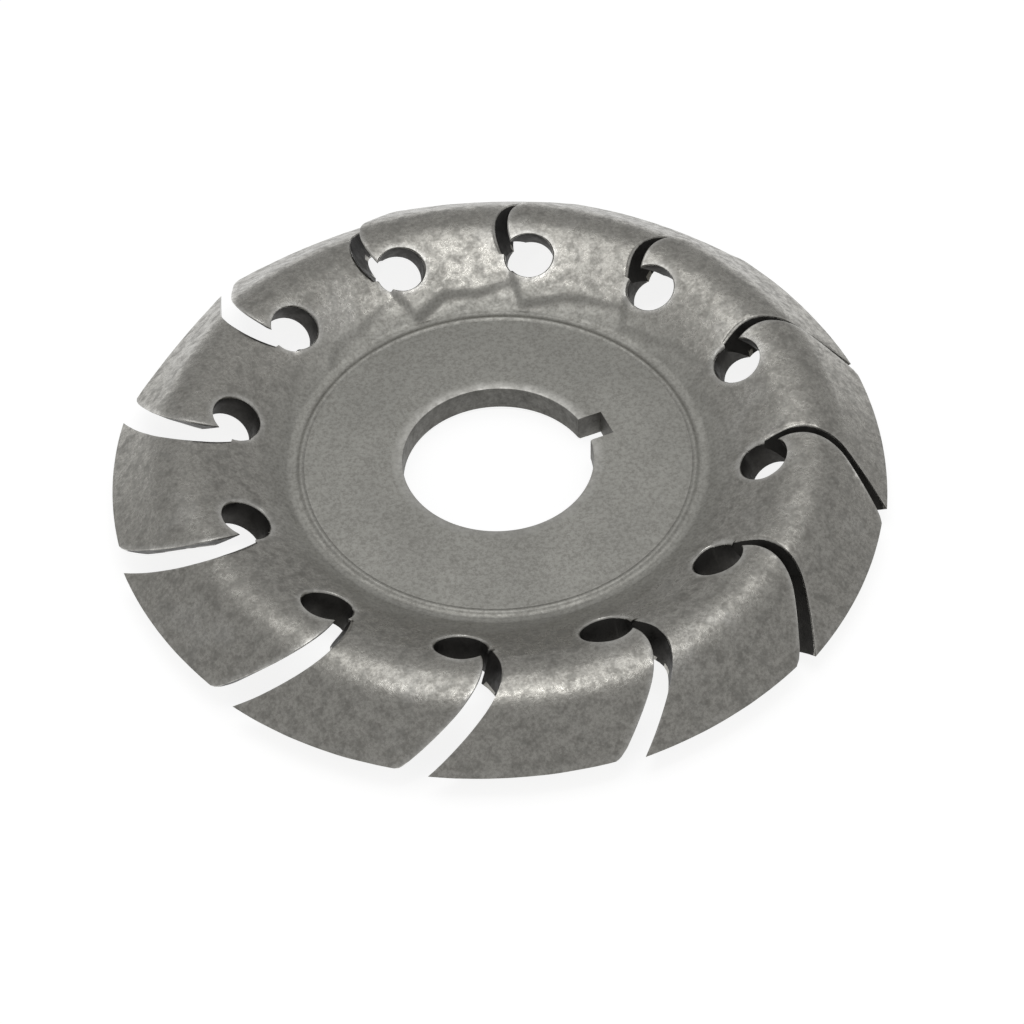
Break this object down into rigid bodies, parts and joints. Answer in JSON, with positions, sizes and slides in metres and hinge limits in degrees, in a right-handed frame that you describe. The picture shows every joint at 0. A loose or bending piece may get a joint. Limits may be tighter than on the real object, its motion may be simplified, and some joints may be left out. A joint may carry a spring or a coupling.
{
  "type": "angle grinder carving disc",
  "caption": "Round one-piece steel carving disc: flat hub with keyed bore, raised crown pierced by gullet holes, and curved slots to the rim that leave raked cutting teeth.",
  "frame": {"origin": "centre of the bore, half way through the hub", "axes": "+Z along the bore, out of the hub's top face, on the side that the crown stands above; +X through the middle of the keyway"},
  "size_m": [0.065, 0.065, 0.006],
  "materials": {
    "blade_steel": "tumbled, dull grey, ground edges"
  },
  "bodies": {
    "root": {"carving_disc": "blade_steel"}
  },
  "joints": []
}
